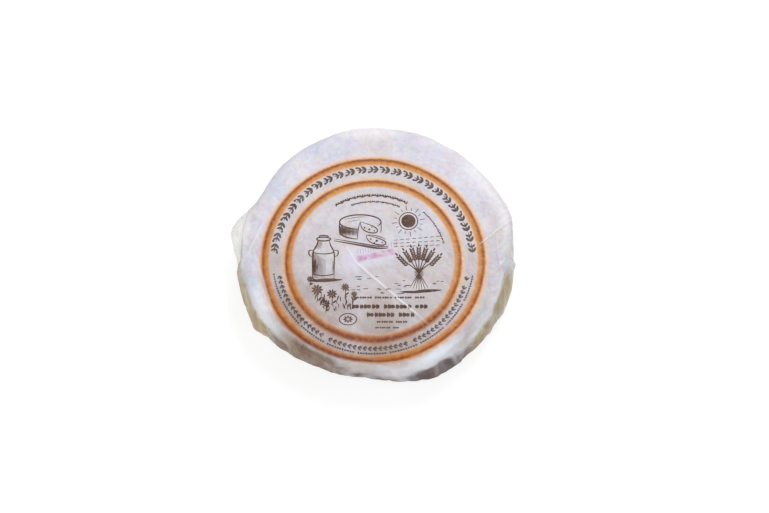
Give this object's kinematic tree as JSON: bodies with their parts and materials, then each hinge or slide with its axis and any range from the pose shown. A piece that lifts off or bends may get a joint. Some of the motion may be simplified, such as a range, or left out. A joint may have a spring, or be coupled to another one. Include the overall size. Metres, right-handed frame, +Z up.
{
  "type": "wrapped cheese wheel",
  "caption": "Round flat soft cheese shut in one sheet of waxed printed paper, folded under; a pack that lies flat on its underside.",
  "frame": {"origin": "under the middle of the pack's box, on the face it lies on", "axes": "+Z up through the label; the reader of the label stands at -Y with +X to the right"},
  "size_m": [0.1952, 0.1814, 0.032],
  "materials": {
    "wrap_paper": "thin waxed paper, slightly glossy, damp and creased"
  },
  "bodies": {
    "root": {"wrapped_wheel": "wrap_paper"}
  },
  "joints": []
}
